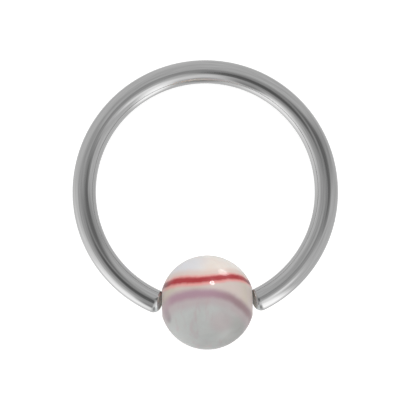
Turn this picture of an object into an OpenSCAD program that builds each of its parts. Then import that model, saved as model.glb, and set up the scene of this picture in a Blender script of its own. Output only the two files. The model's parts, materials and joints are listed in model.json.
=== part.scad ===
// Captive bead ring for a piercing, in millimetres, +Z up.
// A springy steel wire is bent into a hoop that stays open at one side, and
// its two ends grip one bead by a dimple in each of the bead's sides.
// The ring lies as it comes to rest: on its bead and on the wire opposite.
// The origin is on the floor, under the middle of the ring's box.

/* [Wire] */
// Diameter of the steel wire
wire_d = 1.2; // [0.8:0.1:1.6]
// Clear inside diameter of the hoop
hoop_inner_d = 11.2; // [8:0.1:16]
// Radius of the rounding round each cut end of the wire, as far as a thin wire
// has room for it
end_round = 0.4; // [0.05:0.05:0.5]

/* [Bead] */
// Diameter of the bead
bead_d = 4.8; // [3:0.1:6]
// How far the middle of each wire end sits inside the bead's width
end_depth = 0.1; // [0:0.05:0.3]
// How far the bead's centre sits off the line between the middles of the
// wire's ends, towards the hoop's centre
bead_shift = 0.05; // [0:0.05:0.15]
// Running gap between a wire end's rounded corner and its dimple
end_gap = 0.05; // [0.02:0.01:0.1]
// How much larger a dimple's radius is than the smallest that clears the wire
dimple_room = 0.2; // [0.1:0.05:0.4]

/* [Quality] */
// Facets round a full turn in the preview
$fn = 96; // [48:12:144]

/* [Hidden] */

// The wire's centre line, a circle of radius hoop_r with a gap at the bead
wire_r = wire_d / 2;
bead_r = bead_d / 2;
hoop_r = (hoop_inner_d + wire_d) / 2;

// The rounding is limited by the wire, so that a flat face is left inside it
flat_share = 0.15;
round_r = min(end_round, (1 - flat_share) * wire_r);
flat_r = wire_r - round_r;

// Each end of the wire is a short straight stub, as long as its rounding.
// The middle of its flat face is end_x from the bead's centre, along X, and
// bead_shift further out from the hoop's centre.
end_x = bead_r - end_depth;
end_reach = norm([hoop_r, round_r]);
face_turn = asin(end_x / end_reach);
stub_turn = face_turn + atan(round_r / hoop_r);
bead_drop = end_reach * cos(face_turn) - bead_shift;

// The wire is made as two halves, and each runs on past the middle by this
// many degrees so that the two join into one
half_lap = 5;

// The corner of a wire end that reaches furthest into the bead, given by the
// centre of its rounding as [along X, towards the hoop's centre]
corner_x = end_x + round_r * cos(stub_turn) - flat_r * sin(stub_turn);
corner_y = round_r * sin(stub_turn) + flat_r * cos(stub_turn) - bead_shift;

// A dimple is a round hollow about X that clears that corner by end_gap
// however far the bead turns
corner_room = round_r + end_gap;
dimple_r = corner_y + corner_room + dimple_room;
dimple_x = corner_x + sqrt(pow(dimple_r - corner_room, 2) - pow(corner_y, 2));

// At rest the bead and the wire opposite it both touch the floor
rest_span = hoop_r + bead_drop;
rest_tilt = asin((bead_r - wire_r) / rest_span);
rest_length = bead_r + rest_span * cos(rest_tilt) + wire_r;
bead_y = bead_r - rest_length / 2;

// Places its children, modelled round the bead's centre with the hoop
// standing along +Y, in the tilt in which the ring rests
module at_rest() {
    translate([0, bead_y, bead_r])
        rotate([-rest_tilt, 0, 0])
            children();
}

// Half the section of a stub: flat across its middle, rounded at its edge
module stub_section() {
    square([flat_r, round_r]);
    intersection() {
        translate([flat_r, 0])
            circle(r = round_r);
        square([wire_r, round_r]);
    }
}

// The wire's end at the bead's +X side, square to the wire
module stub() {
    rotate([0, 0, stub_turn - 90])
        translate([hoop_r, 0, 0])
            rotate([90, 0, 0])
                rotate_extrude()
                    stub_section();
}

// The wire's bend at the bead's +X side, from the stub to opposite the bead
module bend() {
    rotate([0, 0, stub_turn - 90])
        rotate_extrude(angle = 180 - stub_turn + half_lap)
            translate([hoop_r, 0])
                circle(r = wire_r);
}

module ring() {
    color("silver")
        at_rest()
            translate([0, bead_drop, 0])
                for (turn = [0, 180])
                    rotate([0, turn, 0]) {
                        bend();
                        stub();
                    }
}

// Half the section of the bead, with its two dimples, to turn about Y
module bead_section() {
    difference() {
        intersection() {
            circle(r = bead_r);
            translate([0, -bead_r])
                square([bead_r, bead_d]);
        }
        for (side = [-1, 1])
            translate([0, side * dimple_x])
                circle(r = dimple_r);
    }
}

module bead() {
    color("mistyrose")
        at_rest()
            rotate([0, 90, 0])
                rotate_extrude()
                    bead_section();
}

ring();
bead();
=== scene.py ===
import json
import math

import bpy
from mathutils import Euler, Matrix, Vector


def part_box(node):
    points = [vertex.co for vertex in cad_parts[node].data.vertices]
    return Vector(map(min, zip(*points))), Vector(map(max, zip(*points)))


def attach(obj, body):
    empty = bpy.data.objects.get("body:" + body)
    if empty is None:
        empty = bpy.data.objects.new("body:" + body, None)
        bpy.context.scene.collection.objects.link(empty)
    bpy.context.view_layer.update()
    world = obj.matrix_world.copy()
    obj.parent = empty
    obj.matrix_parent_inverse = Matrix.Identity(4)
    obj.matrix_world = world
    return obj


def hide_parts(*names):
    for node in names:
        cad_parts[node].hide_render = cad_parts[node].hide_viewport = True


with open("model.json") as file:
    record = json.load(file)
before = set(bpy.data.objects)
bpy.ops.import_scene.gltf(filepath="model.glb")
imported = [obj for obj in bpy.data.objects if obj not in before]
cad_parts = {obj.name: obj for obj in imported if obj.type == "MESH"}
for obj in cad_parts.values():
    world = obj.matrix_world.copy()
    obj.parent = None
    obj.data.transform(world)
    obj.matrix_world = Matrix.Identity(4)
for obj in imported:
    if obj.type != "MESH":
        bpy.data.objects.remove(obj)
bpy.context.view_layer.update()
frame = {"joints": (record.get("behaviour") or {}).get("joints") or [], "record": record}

# The looks of a captive bead ring, in metres, +Z up.
# The steel hoop lies on its bead and on the wire opposite, as in the frame.

MM = 0.001

# Sizes read from the frame. The bead turns about the joint, the mount is on
# the wire's centre line opposite the bead, and both touch the floor there.
bead_centre = Vector(frame["joints"][0]["pos_m"])
far_wire = Vector(frame["record"]["mounts"][0]["pos_m"])
bead_r = bead_centre.z
wire_r = far_wire.z
hoop_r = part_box("ring")[1].x - wire_r

# Sizes of the wire's ends and the bead's dimples, as in the part's source,
# where the wire limits the rounding so that a flat face is left inside it
flat_share = 0.15
end_round = min(0.4 * MM, (1 - flat_share) * wire_r)
end_depth = 0.1 * MM
bead_shift = 0.05 * MM
end_gap = 0.05 * MM
dimple_room = 0.2 * MM

# The rounding of a dimple's rim, which is sharp in the part's source
rim_round = 0.03 * MM

# How finely the pieces are made
POINTS_ROUND_WIRE = 72
LOOPS_ALONG_WIRE = 420
POINTS_ROUND_BEAD = 256
LOOPS_ALONG_BEAD = 150
LOOPS_ON_ROUNDING = 16
LOOPS_ON_FACE = 6
LOOPS_IN_DIMPLE = 16

# The photograph: its side, and in its pixels the centres of the hoop and the
# bead and the radius of the hoop's centre line
PHOTO_SIDE = 416
HOOP_AT = Vector((205.3, 191.2))
BEAD_AT = Vector((207.3, 302.6))
HOOP_R_AT = 121.1

# The camera: its distance from the hoop's centre, and its lean from straight
# above, towards the wire opposite the bead
CAMERA_DISTANCE = 150 * MM
CAMERA_LEAN = math.radians(1.4)
CAMERA_NEAREST = 1 * MM
CAMERA_FURTHEST = 10.0


# Shapes

def skin(name, loops, first, last):
    """A smooth closed piece through loops of points of one count, closed on a single point at each end."""
    count = len(loops[0])
    points = [first] + [p for loop in loops for p in loop] + [last]
    end = len(points) - 1
    faces = []
    for k in range(count):
        after = (k + 1) % count
        faces.append((0, 1 + after, 1 + k))
        faces.append((end, end - count + k, end - count + after))
        for row in range(len(loops) - 1):
            low = 1 + row * count
            faces.append((low + k, low + after, low + count + after, low + count + k))
    mesh = bpy.data.meshes.new(name)
    mesh.from_pydata(points, [], faces)
    mesh.shade_smooth()
    piece = bpy.data.objects.new(name, mesh)
    bpy.context.scene.collection.objects.link(piece)
    return piece


def steps(start, end, count):
    """So many values, evenly from start to end."""
    return [start + (end - start) * k / (count - 1) for k in range(count)]


def turns(count):
    """The angles of so many even steps round a full turn."""
    return [2 * math.pi * k / count for k in range(count)]


def hoop_frame():
    """The matrix of the hoop as it rests: its centre, +X across, +Y away from the bead."""
    away = (far_wire - bead_centre).normalized()
    across = Vector((1, 0, 0))
    turned = Matrix((across, away, across.cross(away))).transposed().to_4x4()
    return Matrix.Translation(far_wire - away * hoop_r) @ turned


def stub_turn():
    """The angle, from the hoop's centre, between the bead and the start of the wire's bend."""
    end_x = bead_r - end_depth
    face_turn = math.asin(end_x / math.hypot(hoop_r, end_round))
    return face_turn + math.atan(end_round / hoop_r)


def wire_stations():
    """Places along the wire as (turn round the hoop, distance past the bend's end, radius)."""
    start = stub_turn()
    end = 2 * math.pi - start
    flat_r = wire_r - end_round
    stub = [(end_round, radius) for radius in steps(0, flat_r, LOOPS_ON_FACE)[1:-1]]
    # From the edge of the flat face to just short of the bend, which starts with a loop of its own
    for angle in steps(math.pi / 2, 0, LOOPS_ON_ROUNDING)[:-1]:
        stub.append((end_round * math.sin(angle), flat_r + end_round * math.cos(angle)))
    stations = [(start, -past, radius) for past, radius in stub]
    stations += [(turn, 0, wire_r) for turn in steps(start, end, LOOPS_ALONG_WIRE)]
    stations += [(end, past, radius) for past, radius in reversed(stub)]
    return stations


def wire_point(turn, past, radius, angle):
    """A point of the wire in the hoop's frame, and where it would be on straight wire."""
    out = Vector((math.sin(turn), -math.cos(turn), 0))
    along = Vector((math.cos(turn), math.sin(turn), 0))
    side = radius * math.cos(angle)
    up = radius * math.sin(angle)
    point = out * (hoop_r + side) + along * past + Vector((0, 0, up))
    return point, Vector((turn * hoop_r + past, side, up))


def make_ring():
    """The steel wire, with each point's place on straight wire kept for its material."""
    stations = wire_stations()
    loops = []
    straight = []
    for station in stations:
        both = [wire_point(*station, angle) for angle in turns(POINTS_ROUND_WIRE)]
        loops.append([point for point, _ in both])
        straight += [place for _, place in both]
    first, first_place = wire_point(stations[0][0], -end_round, 0, 0)
    last, last_place = wire_point(stations[-1][0], end_round, 0, 0)
    piece = skin("steel_ring", loops, first, last)
    piece.data.transform(hoop_frame())
    places = piece.data.attributes.new("straight", "FLOAT_VECTOR", "POINT")
    for item, place in zip(places.data, [first_place] + straight + [last_place]):
        item.vector = place
    return piece


def arc(centre_x, radius, start, end, count):
    """Points (x, distance from the X axis) on a circle about a point of the X axis."""
    return [
        (centre_x + radius * math.cos(angle), radius * math.sin(angle))
        for angle in steps(start, end, count)
    ]


def dimple_circle():
    """The place along X and the radius of the +X dimple, which clears the wire end's corner."""
    turn = stub_turn()
    flat_r = wire_r - end_round
    corner_x = bead_r - end_depth + end_round * math.cos(turn) - flat_r * math.sin(turn)
    corner_y = end_round * math.sin(turn) + flat_r * math.cos(turn) - bead_shift
    corner_room = end_round + end_gap
    dimple_r = corner_y + corner_room + dimple_room
    dimple_x = corner_x + math.sqrt((dimple_r - corner_room) ** 2 - corner_y ** 2)
    return dimple_x, dimple_r


def bead_profile():
    """Half the bead's section, from the bottom of its +X dimple to the middle of its outline."""
    dimple_x, dimple_r = dimple_circle()
    # The centre of the rim's rounding, which touches both the dimple and the outline
    near = bead_r - rim_round
    far = dimple_r + rim_round
    rim_x = (near ** 2 - far ** 2 + dimple_x ** 2) / (2 * dimple_x)
    rim_y = math.sqrt(near ** 2 - rim_x ** 2)
    outline_turn = math.atan2(rim_y, rim_x)
    dimple_turn = math.atan2(rim_y, rim_x - dimple_x)
    dimple = arc(dimple_x, dimple_r, math.pi, dimple_turn, LOOPS_IN_DIMPLE)
    rim = [
        (rim_x + rim_round * math.cos(angle), rim_y + rim_round * math.sin(angle))
        for angle in steps(dimple_turn - math.pi, outline_turn, LOOPS_ON_ROUNDING)[1:-1]
    ]
    outline = arc(0, bead_r, outline_turn, math.pi / 2, LOOPS_ALONG_BEAD // 2)
    return dimple + rim + outline


def make_bead():
    """The bead, turned about X, with a dimple in each of its sides."""
    half = bead_profile()
    profile = half[1:] + [(-x, y) for x, y in reversed(half[1:-1])]
    loops = []
    for x, y in profile:
        loops.append([
            Vector((x, y * math.cos(angle), y * math.sin(angle)))
            for angle in turns(POINTS_ROUND_BEAD)
        ])
    bottom = half[0][0]
    piece = skin("striped_bead", loops, Vector((bottom, 0, 0)), Vector((-bottom, 0, 0)))
    piece.matrix_world = Matrix.Translation(bead_centre)
    return piece


# Nodes

def node(tree, kind, inputs=(), **settings):
    """A new node with its settings, and its inputs as {name: value or socket}."""
    made = tree.nodes.new(kind)
    for name, value in settings.items():
        setattr(made, name, value)
    for name, value in dict(inputs).items():
        if isinstance(value, bpy.types.NodeSocket):
            tree.links.new(value, made.inputs[name])
        else:
            made.inputs[name].default_value = value
    return made


def maths(tree, operation, *values):
    return node(tree, "ShaderNodeMath", dict(enumerate(values)), operation=operation).outputs[0]


def vectors(tree, operation, *values):
    made = node(tree, "ShaderNodeVectorMath", dict(enumerate(values)), operation=operation)
    return made.outputs["Value" if operation in ("DOT_PRODUCT", "LENGTH", "DISTANCE") else "Vector"]


def ramp(tree, value, low, high, to_low=0.0, to_high=1.0, eased=True):
    """value from low to high as a value from to_low to to_high, eased at both ends unless told not to."""
    inputs = {"Value": value, "From Min": low, "From Max": high, "To Min": to_low, "To Max": to_high}
    kind = "SMOOTHSTEP" if eased else "LINEAR"
    return node(tree, "ShaderNodeMapRange", inputs, interpolation_type=kind).outputs["Result"]


def mix_colours(tree, factor, a, b):
    inputs = {0: factor, 6: a, 7: b}
    return node(tree, "ShaderNodeMix", inputs, data_type="RGBA").outputs[2]


def mix_values(tree, factor, a, b):
    return node(tree, "ShaderNodeMix", {0: factor, 2: a, 3: b}, data_type="FLOAT").outputs[0]


def noise(tree, place, scale, detail, roughness, distortion=0.0):
    inputs = {
        "Vector": place,
        "Scale": scale,
        "Detail": detail,
        "Roughness": roughness,
        "Distortion": distortion,
    }
    return node(tree, "ShaderNodeTexNoise", inputs).outputs["Fac"]


def paint(red, green, blue):
    """A colour given as a screen shows it, from 0 to 255, as the shader takes it."""
    def linear(c):
        c /= 255
        return c / 12.92 if c <= 0.04045 else ((c + 0.055) / 1.055) ** 2.4
    return (linear(red), linear(green), linear(blue), 1.0)


def new_material(name):
    material = bpy.data.materials.new(name)
    material.use_nodes = True
    tree = material.node_tree
    return material, tree, tree.nodes["Principled BSDF"]


# Steel

STEEL_DARK = paint(172, 172, 172)
STEEL_LIGHT = paint(218, 218, 218)
# Steel for the cut ends, with a cool tint painted on to offset the brown reflection of the bead
CUT_STEEL_PAINTED_TINT = paint(214, 220, 220)
CUT_ROUGHNESS = 0.45

# The draw lines and the patches of duller steel, as counts to a mm. A line
# changes less along the wire than across it, by a share, and has a depth.
LINES_PER_MM = 9
PATCHES_PER_MM = 0.8
ALONG_SHARE = 0.05
LINE_DEPTH = 0.005 * MM

# The cut face fades in between these shares of the wire's radius
CUT_FROM = 0.98
CUT_TO = 0.80


def steel_material():
    """Polished steel wire, with faint draw lines along it, and duller where it is cut off, with a cool
    tint painted there against the bead's brown reflection.
    """
    material, tree, shader = new_material("polished_steel")
    place = node(tree, "ShaderNodeAttribute", attribute_name="straight").outputs["Vector"]
    drawn_out = vectors(tree, "MULTIPLY", place, (ALONG_SHARE, 1.0, 1.0))
    lines = noise(tree, drawn_out, LINES_PER_MM / MM, 4.0, 0.6)
    patches = noise(tree, place, PATCHES_PER_MM / MM, 3.0, 0.5)
    grey = mix_colours(tree, lines, STEEL_DARK, STEEL_LIGHT)
    rough = ramp(tree, maths(tree, "ADD", lines, patches), 0.7, 1.3, 0.05, 0.12)
    from_middle = vectors(tree, "LENGTH", vectors(tree, "MULTIPLY", place, (0.0, 1.0, 1.0)))
    cut = ramp(tree, from_middle, CUT_FROM * wire_r, CUT_TO * wire_r)
    # The cut ends get duller steel and a painted cool tint against the bead's brown reflection
    tree.links.new(mix_colours(tree, cut, grey, CUT_STEEL_PAINTED_TINT), shader.inputs["Base Color"])
    tree.links.new(mix_values(tree, cut, rough, CUT_ROUGHNESS), shader.inputs["Roughness"])
    bump = node(tree, "ShaderNodeBump", {"Height": lines, "Strength": 0.3, "Distance": LINE_DEPTH})
    tree.links.new(bump.outputs["Normal"], shader.inputs["Normal"])
    shader.inputs["Metallic"].default_value = 1.0
    return material


# Bead

CREAM = paint(240, 235, 228)
SHELL = paint(221, 197, 186)
MIST = paint(222, 221, 224)
SAND = paint(207, 198, 182)
BLUSH = paint(213, 200, 194)
PALE = paint(202, 205, 203)
SILVER = paint(190, 192, 190)
STONE = paint(177, 177, 174)
# A painted shade for the grey cap's lower side towards +X, where less light falls
PAINTED_SHADE_GREY = paint(158, 158, 155)
ROSE_GREY = paint(190, 172, 175)
RED = paint(174, 46, 52)
# Dark red for the stripe towards the bead's sides, partly its own colour and partly painted shade
SHADED_MAROON = paint(112, 42, 46)
PINK = paint(232, 152, 148)
LILAC = paint(177, 146, 159)
PLUM = paint(159, 134, 138)
SLATE = paint(122, 116, 120)

# Spots in the bead's ground. A spot is strongest towards its direction from
# the bead's centre, and fades to nothing at its reach, in degrees.
SPOT_COLUMNS = ("towards", "reach", "strength", "colour")
CAP_SPOTS = [
    ((-0.5, 0.77, 0.4), 38, 1.0, MIST),
]
BETWEEN_SPOTS = [
    ((0.4, 0.38, 0.84), 40, 1.0, BLUSH),
]
GREY_SPOTS_UNDER_CLOUDS = [
    ((0.8, -0.4, 0.4), 65, 1.0, STONE),
    ((0.1, -1.0, 0.1), 38, 1.0, STONE),
]
GREY_SPOTS_OVER_CLOUDS = [
    # The first spot here is painted shade towards +X and -Y, not a colour of the acrylic
    ((0.7, -0.7, -0.1), 55, 1.0, PAINTED_SHADE_GREY),
    ((0.3, -0.36, 0.88), 20, 0.45, ROSE_GREY),
    ((-0.86, -0.23, 0.45), 12, 1.0, SLATE),
]

# Bands along the stripes as (from, to, softness of both edges), in degrees
# from the stripe's middle
SHELL_BAND = (-12.0, 0.0, 5.0)
PINK_BAND = (-5.5, 6.5, 2.5)
RED_BAND = (-3.3, 3.3, 1.9)
ROSE_BAND = (-13.0, 7.0, 5.0)
LILAC_BAND = (-4.5, 4.5, 3.5)

# Each stripe runs right round the bead, at a set angle from its pole, and
# sways: at each angle round from +X, by so many degrees away from the pole
RED_POLE = Vector((-0.04, 0.98, -0.19)).normalized()
RED_TURN = 67.0
LILAC_POLE = Vector((-0.08, -0.81, 0.58)).normalized()
LILAC_TURN = 69.0
SWAY_COLUMNS = ("round", "away")
RED_SWAY = [
    (-180, 2.0),
    (-163, 2.4),
    (-150, 0.8),
    (-134, -0.4),
    (-122, 0.0),
    (-110, 1.1),
    (-95, 1.8),
    (-80, 0.6),
    (-66, -0.4),
    (-50, -1.8),
    (-38, -1.2),
    (-26, 0.8),
    (-14, 3.0),
    (40, 1.0),
    (100, -1.5),
    (180, 2.0),
]
LILAC_SWAY = [
    (-180, -1.0),
    (-90, 1.0),
    (-20, 1.0),
    (2, 0.6),
    (20, -1.0),
    (33, -1.4),
    (45, -1.0),
    (60, 0.3),
    (76, 0.3),
    (90, -0.6),
    (104, -0.9),
    (120, -1.0),
    (143, 0.0),
    (160, -1.5),
    (180, -1.0),
]
# The furthest that a stripe may sway either way
SWAY_LIMIT = 4.0


def spot(tree, place, towards, reach):
    """1 where the bead faces the direction, fading to 0 at the reach, in degrees."""
    facing = vectors(tree, "DOT_PRODUCT", place, Vector(towards).normalized())
    return ramp(tree, facing, math.cos(math.radians(reach)), 1.0)


def sway(tree, place, pole, rows):
    """How far the stripe sways away from its pole, in degrees, by the angle round the pole."""
    start = (Vector((1, 0, 0)) - pole * pole.x).normalized()
    side = pole.cross(start)
    along = vectors(tree, "DOT_PRODUCT", place, start)
    across = vectors(tree, "DOT_PRODUCT", place, side)
    turn = maths(tree, "ARCTAN2", across, along)
    share_round = ramp(tree, turn, -math.pi, math.pi, eased=False)
    curve = node(tree, "ShaderNodeFloatCurve", {"Value": share_round})
    points = curve.mapping.curves[0].points
    for index, row in enumerate(rows):
        entry = dict(zip(SWAY_COLUMNS, row))
        at = (entry["round"] / 360 + 0.5, entry["away"] / SWAY_LIMIT / 2 + 0.5)
        # A new curve already has a point at each end
        if index in (0, len(rows) - 1):
            points[min(index, 1)].location = at
        else:
            points.new(*at)
    curve.mapping.update()
    return ramp(tree, curve.outputs["Value"], 0.0, 1.0, -SWAY_LIMIT, SWAY_LIMIT, eased=False)


def off_stripe(tree, place, pole, turn, rows):
    """Degrees from the middle of a stripe, positive on the side away from its pole."""
    facing = vectors(tree, "DOT_PRODUCT", place, pole)
    from_pole = maths(tree, "MULTIPLY", maths(tree, "ARCCOSINE", facing), math.degrees(1))
    off = maths(tree, "SUBTRACT", from_pole, turn)
    return maths(tree, "SUBTRACT", off, sway(tree, place, pole, rows))


def band(tree, off, low, high, soft):
    """1 from low to high, fading out over soft either way."""
    rising = ramp(tree, off, low - soft, low + soft)
    falling = ramp(tree, off, high - soft, high + soft, 1.0, 0.0)
    return maths(tree, "MULTIPLY", rising, falling)


def spotted(tree, place, colour, rows):
    """The colour with a table's spots on it."""
    for row in rows:
        entry = dict(zip(SPOT_COLUMNS, row))
        seen = spot(tree, place, entry["towards"], entry["reach"])
        strength = maths(tree, "MULTIPLY", seen, entry["strength"])
        colour = mix_colours(tree, strength, colour, entry["colour"])
    return colour


def bead_ground(tree, unit, red_off, lilac_off):
    """The bead without its stripes: a cream cap, a zone between the stripes and a grey cap."""
    clouds = noise(tree, unit, 1.7, 5.0, 0.6, 0.8)
    cloudy = ramp(tree, clouds, 0.35, 0.65)
    streaks = noise(tree, vectors(tree, "MULTIPLY", unit, (3.0, 0.8, 1.6)), 2.2, 5.0, 0.6, 0.5)
    veins = ramp(tree, streaks, 0.52, 0.68)

    # Cream, with a cool patch at one side and warmer by the red stripe
    cap = mix_colours(tree, maths(tree, "MULTIPLY", cloudy, 0.35), CREAM, SHELL)
    cap = spotted(tree, unit, cap, CAP_SPOTS)
    warmer = maths(tree, "MULTIPLY", band(tree, red_off, *SHELL_BAND), 0.8)
    cap = mix_colours(tree, warmer, cap, SHELL)

    between = spotted(tree, unit, mix_colours(tree, cloudy, SAND, BLUSH), BETWEEN_SPOTS)

    # Grey, darker at its middle and towards +X, with pale clouds and rosy veins, and over them a painted
    # shade towards +X and -Y
    grey = spotted(tree, unit, SILVER, GREY_SPOTS_UNDER_CLOUDS)
    grey = mix_colours(tree, maths(tree, "MULTIPLY", cloudy, 0.4), grey, PALE)
    grey = mix_colours(tree, maths(tree, "MULTIPLY", veins, 0.45), grey, ROSE_GREY)
    grey = spotted(tree, unit, grey, GREY_SPOTS_OVER_CLOUDS)

    upper = mix_colours(tree, ramp(tree, red_off, -3.0, 3.0), cap, between)
    return mix_colours(tree, ramp(tree, lilac_off, -6.0, 5.0), grey, upper)


def add_lilac(tree, colour, lilac_off, aside):
    """The soft lilac stripe in its rosy fringe, duller towards +X and fading out towards -X."""
    fringe = maths(tree, "MULTIPLY", band(tree, lilac_off, *ROSE_BAND), 0.65)
    colour = mix_colours(tree, fringe, colour, ROSE_GREY)
    lilac = mix_colours(tree, ramp(tree, aside, 0.05, 0.7), LILAC, PLUM)
    fading = ramp(tree, aside, -1.0, -0.7, 0.2, 1.0)
    stripe = maths(tree, "MULTIPLY", band(tree, lilac_off, *LILAC_BAND), fading)
    return mix_colours(tree, stripe, colour, lilac)


def add_red(tree, colour, red_off, aside):
    """The sharper red stripe in its pink fringe, darker towards the bead's sides, partly its own darker
    red and partly painted shade.
    """
    # Towards the sides the red turns maroon, partly the stripe's own colour and partly painted shade
    ends = ramp(tree, maths(tree, "ABSOLUTE", aside), 0.72, 0.95)
    strength = mix_values(tree, ends, 0.9, 0.5)
    fringe = maths(tree, "MULTIPLY", band(tree, red_off, *PINK_BAND), strength)
    colour = mix_colours(tree, fringe, colour, PINK)
    red = mix_colours(tree, ends, RED, SHADED_MAROON)
    return mix_colours(tree, band(tree, red_off, *RED_BAND), colour, red)


def bead_material():
    """Glossy cream and grey acrylic with a red stripe and a lilac stripe, and cloudy veins."""
    material, tree, shader = new_material("striped_bead")
    place = node(tree, "ShaderNodeTexCoord").outputs["Object"]
    unit = vectors(tree, "NORMALIZE", place)
    aside = vectors(tree, "DOT_PRODUCT", unit, (1.0, 0.0, 0.0))
    fine = noise(tree, unit, 7.0, 4.0, 0.6)
    ragged = ramp(tree, fine, 0.3, 0.7, -0.4, 0.4)
    # Both stripes are wider towards -X
    narrowing = ramp(tree, aside, -0.6, 0.6, 0.82, 1.0)
    offs = []
    for pole, turn, rows in ((RED_POLE, RED_TURN, RED_SWAY), (LILAC_POLE, LILAC_TURN, LILAC_SWAY)):
        off = maths(tree, "ADD", off_stripe(tree, unit, pole, turn, rows), ragged)
        offs.append(maths(tree, "MULTIPLY", off, narrowing))
    red_off, lilac_off = offs

    colour = bead_ground(tree, unit, red_off, lilac_off)
    colour = add_lilac(tree, colour, lilac_off, aside)
    colour = add_red(tree, colour, red_off, aside)
    tree.links.new(colour, shader.inputs["Base Color"])

    rough = ramp(tree, fine, 0.3, 0.7, 0.32, 0.42)
    tree.links.new(rough, shader.inputs["Roughness"])
    # Light that gets a little way into the acrylic softens the stripes
    shader.inputs["Subsurface Weight"].default_value = 0.5
    shader.inputs["Subsurface Scale"].default_value = 0.3 * MM
    shader.inputs["Subsurface Radius"].default_value = (1.0, 0.8, 0.7)
    shader.inputs["Specular IOR Level"].default_value = 0.3
    shader.inputs["Coat Weight"].default_value = 0.5
    shader.inputs["Coat Roughness"].default_value = 0.05
    return material


# Studio

# Soft cards all round, as the polished wire reflects them. A card is an
# ellipse on the sky: turn is round from +X, height above the horizon, wide and
# tall its half sizes, and lean how far it is turned on the sky, all in
# degrees. Soft is its edge's share of its size, and level its brightness.
CARD_COLUMNS = ("turn", "height", "wide", "tall", "lean", "soft", "level")
CARDS = [
    (30, 10, 50, 60, 0, 0.6, 0.65),
    (150, 54, 60, 26, 0, 0.6, 0.60),
    (280, 45, 24, 16, 0, 0.5, 0.95),
    (215, -10, 38, 44, 0, 0.5, 1.00),
    (225, -6, 17, 26, 0, 0.6, 1.45),
    (318, 54, 10, 10, 0, 0.5, 1.15),
    (301, 5, 11, 36, 0, 0.6, 1.65),
    (271, 0, 10, 26, 0, 0.6, 0.40),
    (241, 32, 9, 18, 0, 0.6, 0.38),
    (172, 36, 26, 7, 0, 0.5, 0.55),
    (28, 22, 12, 36, 0, 0.6, 0.48),
    (20, 56, 12, 10, 0, 0.5, 0.36),
    (45, 61, 26, 11, 70, 0.5, 0.20),
    (190, 62, 40, 13, 0, 0.5, 0.45),
    (230, 74, 12, 10, 0, 0.5, 0.20),
    (180, 80, 15, 12, 0, 0.5, 0.15),
    (30, 80, 12, 10, 0, 0.5, 0.45),
]

# How bright the room is: behind the cards, as soft light, and to the camera
ROOM_LEVEL = 0.72
SOFT_LEVEL = 0.82
BACKDROP_LEVEL = 1.0

# The floor, a little lower than the ring so that it doesn't cut into it
FLOOR_HALF_SIDE = 2.0
FLOOR_DROP = 0.01 * MM
FLOOR_COLOUR = (0.8, 0.8, 0.8, 1.0)
FLOOR_LIFT = 0.55

# The key light, aimed at the origin
KEY_TOWARDS = (0.1, 0.75, 0.65)
KEY_DISTANCE = 300 * MM
KEY_SIZE = 160 * MM
KEY_POWER = 0.2

# Two small lamps that only the bead reflects, aimed at its centre. The
# distance and the size are in mm, and the power in watts.
LAMP_COLUMNS = ("name", "towards", "distance", "size", "power")
LAMPS = [
    ("small_glint", (0.2, 0.78, 0.6), 60, 11, 0.006),
    ("broad_glint", (0.48, 0.87, 0.13), 8, 2.6, 0.00009),
]


def card_mask(tree, direction, card):
    """1 on the card, fading to 0 at its edge."""
    turn, height, lean = (math.radians(card[name]) for name in ("turn", "height", "lean"))
    facing = Euler((0, math.pi / 2 - height, turn)).to_matrix()
    upright = facing @ Matrix.Rotation(math.pi / 2 + lean, 3, "Z")
    size = (math.sin(math.radians(card["wide"])), math.sin(math.radians(card["tall"])), 1.0)
    inputs = {"Vector": direction, "Rotation": upright.to_euler(), "Scale": size}
    local = node(tree, "ShaderNodeMapping", inputs, vector_type="TEXTURE").outputs["Vector"]
    away = vectors(tree, "DISTANCE", local, (0.0, 0.0, 1.0))
    return ramp(tree, away, 1 - card["soft"], 1 + card["soft"], 1.0, 0.0)


def make_world():
    """A pale room: plain for the camera and for soft light, with cards where the steel reflects it."""
    world = bpy.data.worlds.new("studio")
    bpy.context.scene.world = world
    world.use_nodes = True
    world.cycles.sampling_method = "NONE"
    tree = world.node_tree
    direction = node(tree, "ShaderNodeTexCoord").outputs["Generated"]
    reflected = ROOM_LEVEL
    for row in CARDS:
        card = dict(zip(CARD_COLUMNS, row))
        reflected = mix_values(tree, card_mask(tree, direction, card), reflected, card["level"])
    ray = node(tree, "ShaderNodeLightPath").outputs
    level = mix_values(tree, ray["Is Glossy Ray"], SOFT_LEVEL, reflected)
    level = mix_values(tree, ray["Is Camera Ray"], level, BACKDROP_LEVEL)
    tree.links.new(level, tree.nodes["Background"].inputs["Color"])


def make_floor():
    """A plain pale floor, lifted to white for the camera."""
    side = FLOOR_HALF_SIDE
    mesh = bpy.data.meshes.new("floor")
    corners = [(-side, -side, 0), (side, -side, 0), (side, side, 0), (-side, side, 0)]
    mesh.from_pydata(corners, [], [(0, 1, 2, 3)])
    floor = bpy.data.objects.new("floor", mesh)
    floor.location.z = -FLOOR_DROP
    bpy.context.scene.collection.objects.link(floor)
    material, tree, shader = new_material("pale_floor")
    shader.inputs["Base Color"].default_value = FLOOR_COLOUR
    shader.inputs["Roughness"].default_value = 1.0
    shader.inputs["Specular IOR Level"].default_value = 0.0
    shader.inputs["Emission Color"].default_value = (1.0, 1.0, 1.0, 1.0)
    seen = node(tree, "ShaderNodeLightPath").outputs["Is Camera Ray"]
    tree.links.new(maths(tree, "MULTIPLY", seen, FLOOR_LIFT), shader.inputs["Emission Strength"])
    mesh.materials.append(material)
    floor.visible_glossy = False


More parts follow.
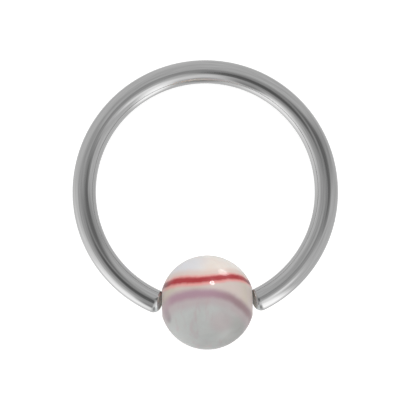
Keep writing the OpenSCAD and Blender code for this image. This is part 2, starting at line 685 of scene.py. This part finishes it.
def make_light(name, towards, distance, size, power, aim):
    """A round soft light in that direction from the point that it is aimed at."""
    data = bpy.data.lights.new(name, "AREA")
    data.shape = "DISK"
    data.size = size
    data.energy = power
    light = bpy.data.objects.new(name, data)
    towards = Vector(towards).normalized()
    light.location = aim + towards * distance
    light.rotation_mode = "QUATERNION"
    light.rotation_quaternion = towards.to_track_quat("Z", "Y")
    light.visible_camera = False
    bpy.context.scene.collection.objects.link(light)
    return light


def make_lights(bead):
    """A soft key light that only brightens, and the lamps for the bead's glints."""
    key = make_light("key", KEY_TOWARDS, KEY_DISTANCE, KEY_SIZE, KEY_POWER, Vector())
    key.visible_glossy = False
    seen_by_bead = bpy.data.collections.new("seen_by_bead")
    seen_by_bead.objects.link(bead)
    for row in LAMPS:
        entry = dict(zip(LAMP_COLUMNS, row))
        distance = entry["distance"] * MM
        size = entry["size"] * MM
        lamp = make_light(entry["name"], entry["towards"], distance, size, entry["power"], bead_centre)
        lamp.visible_diffuse = False
        lamp.light_linking.receiver_collection = seen_by_bead


def make_camera():
    """Almost straight down on the ring, with the hoop and the bead where the photograph has them."""
    data = bpy.data.cameras.new("camera")
    camera = bpy.data.objects.new("camera", data)
    bpy.context.scene.collection.objects.link(camera)
    bpy.context.scene.camera = camera
    scale = HOOP_R_AT / hoop_r
    to_hoop = HOOP_AT - BEAD_AT
    roll = math.atan2(-to_hoop.x, -to_hoop.y)
    turned = Matrix.Rotation(-CAMERA_LEAN, 4, "X") @ Matrix.Rotation(-roll, 4, "Z")
    middle = Vector((PHOTO_SIDE, PHOTO_SIDE)) / 2
    from_hoop = Vector((middle.x - HOOP_AT.x, HOOP_AT.y - middle.y)) / scale
    place = turned @ Vector((from_hoop.x, from_hoop.y, CAMERA_DISTANCE))
    camera.matrix_world = Matrix.Translation(hoop_frame().translation + place) @ turned
    data.lens = data.sensor_width * CAMERA_DISTANCE * scale / PHOTO_SIDE
    data.clip_start = CAMERA_NEAREST
    data.clip_end = CAMERA_FURTHEST


ring = make_ring()
ring.data.materials.append(steel_material())
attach(ring, "ring")
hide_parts("ring")

bead = make_bead()
bead.data.materials.append(bead_material())
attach(bead, "bead")
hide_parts("bead")

make_floor()
make_world()
make_lights(bead)
make_camera()
bpy.context.scene.view_settings.view_transform = "Standard"
